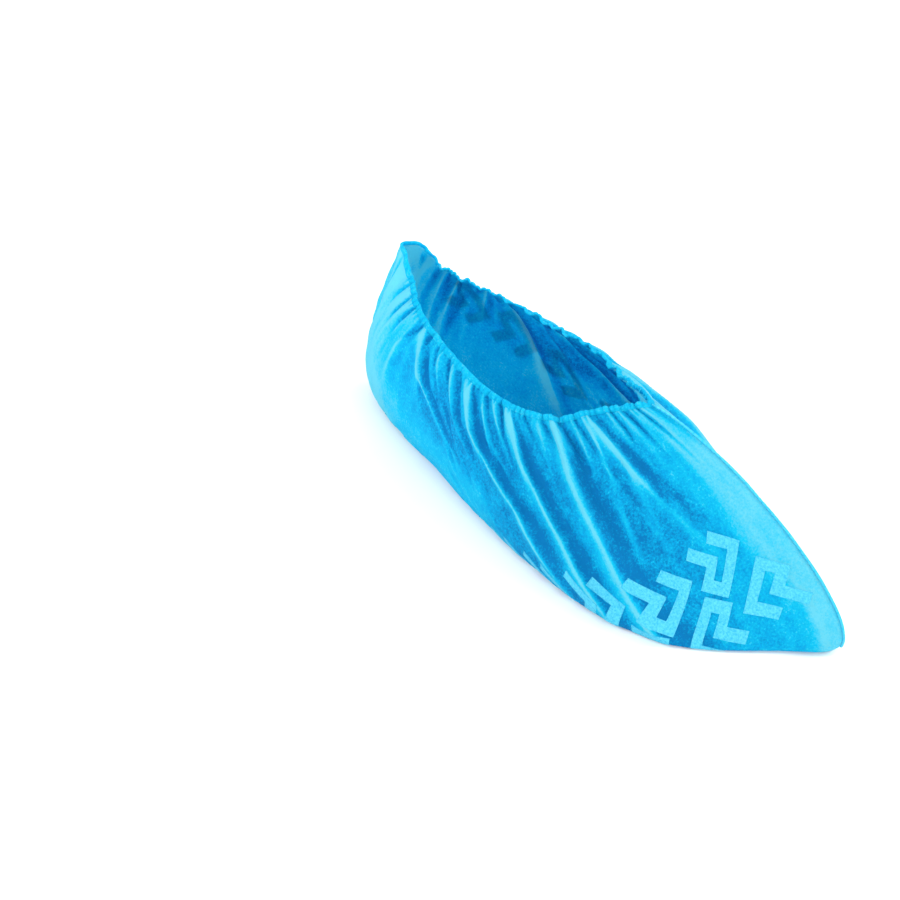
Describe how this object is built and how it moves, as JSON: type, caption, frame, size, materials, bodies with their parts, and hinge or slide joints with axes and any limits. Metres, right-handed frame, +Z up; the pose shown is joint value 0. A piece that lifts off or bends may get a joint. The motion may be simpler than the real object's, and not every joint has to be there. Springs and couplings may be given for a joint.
{
  "type": "disposable shoe cover",
  "caption": "Gathered nonwoven cloth cover that pulls on over a shoe, with an elastic hem, welded toe and heel seams and a flat non-slip sole.",
  "frame": {"origin": "on the surface it stands on, under the middle of its box", "axes": "+X towards the toe, +Y towards the wearer's left, +Z up"},
  "size_m": [0.3386, 0.1444, 0.11],
  "materials": {
    "nonwoven_cloth": "spunbond polypropylene, matt, slightly see-through",
    "gathered_hem": "rolled and gathered over a thin elastic",
    "welded_seam": "two layers, heat welded"
  },
  "bodies": {
    "root": {"cover_body": "nonwoven_cloth", "elastic_hem": "gathered_hem", "toe_seam": "welded_seam", "heel_seam": "welded_seam"}
  },
  "joints": []
}
